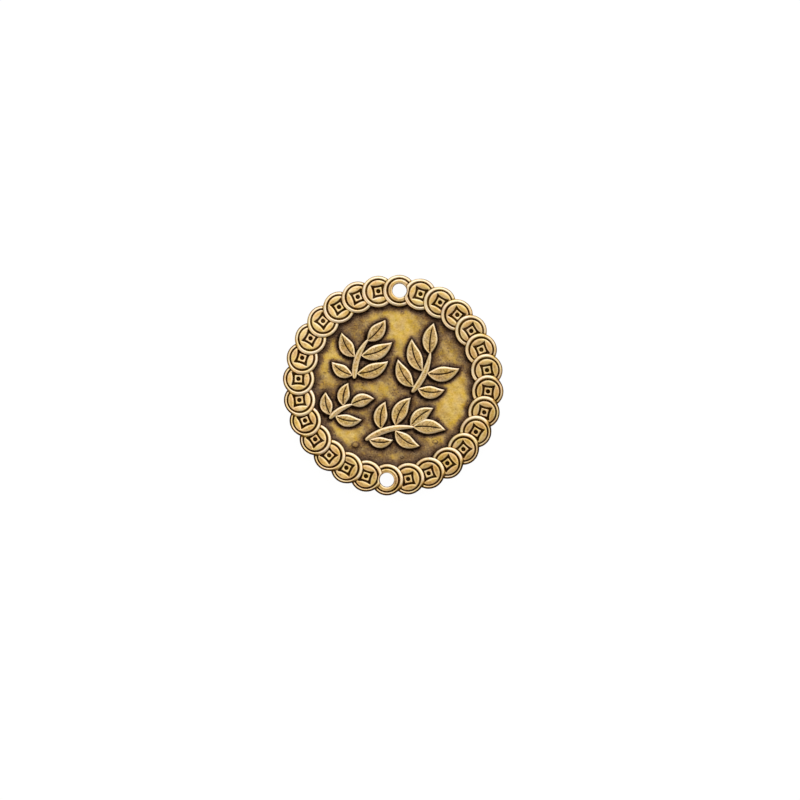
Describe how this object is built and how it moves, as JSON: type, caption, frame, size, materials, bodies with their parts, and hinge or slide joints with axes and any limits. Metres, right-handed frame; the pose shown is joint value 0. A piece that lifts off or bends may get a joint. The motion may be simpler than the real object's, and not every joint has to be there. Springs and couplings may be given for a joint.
{
  "type": "round cord charm",
  "caption": "Flat round antiqued brass charm: a ring of small overlapping pierced-look coins round a sunk field with raised leaf sprays, and two opposite through holes for a cord.",
  "frame": {"origin": "centre of the charm, on the surface it lies on", "axes": "+Z out of the front face, +Y from the centre towards the top cord hole"},
  "size_m": [0.031, 0.031, 0.0033],
  "materials": {
    "coin_brass": "antiqued cast brass, rims rubbed bright, dark patina in the grooves",
    "field_brass": "antiqued cast brass, dark brown patina with yellow worn patches",
    "relief_brass": "antiqued cast brass, satin tops, edges rubbed bright"
  },
  "bodies": {
    "root": {"field_disc": "field_brass", "cord_coin_top": "coin_brass", "cord_coin_bottom": "coin_brass", "rim_coin_01": "coin_brass", "rim_coin_02": "coin_brass", "rim_coin_03": "coin_brass", "rim_coin_04": "coin_brass", "rim_coin_05": "coin_brass", "rim_coin_06": "coin_brass", "rim_coin_07": "coin_brass", "rim_coin_08": "coin_brass", "rim_coin_09": "coin_brass", "rim_coin_10": "coin_brass", "rim_coin_11": "coin_brass", "rim_coin_12": "coin_brass", "rim_coin_13": "coin_brass", "rim_coin_15": "coin_brass", "rim_coin_16": "coin_brass", "rim_coin_17": "coin_brass", "rim_coin_18": "coin_brass", "rim_coin_19": "coin_brass", "rim_coin_20": "coin_brass", "rim_coin_21": "coin_brass", "rim_coin_22": "coin_brass", "rim_coin_23": "coin_brass", "rim_coin_24": "coin_brass", "rim_coin_25": "coin_brass", "rim_coin_26": "coin_brass", "rim_coin_27": "coin_brass", "leaf_spray_upper_left": "relief_brass", "leaf_spray_upper_right": "relief_brass", "leaf_spray_lower_left": "relief_brass", "leaf_spray_bottom": "relief_brass"}
  },
  "joints": []
}
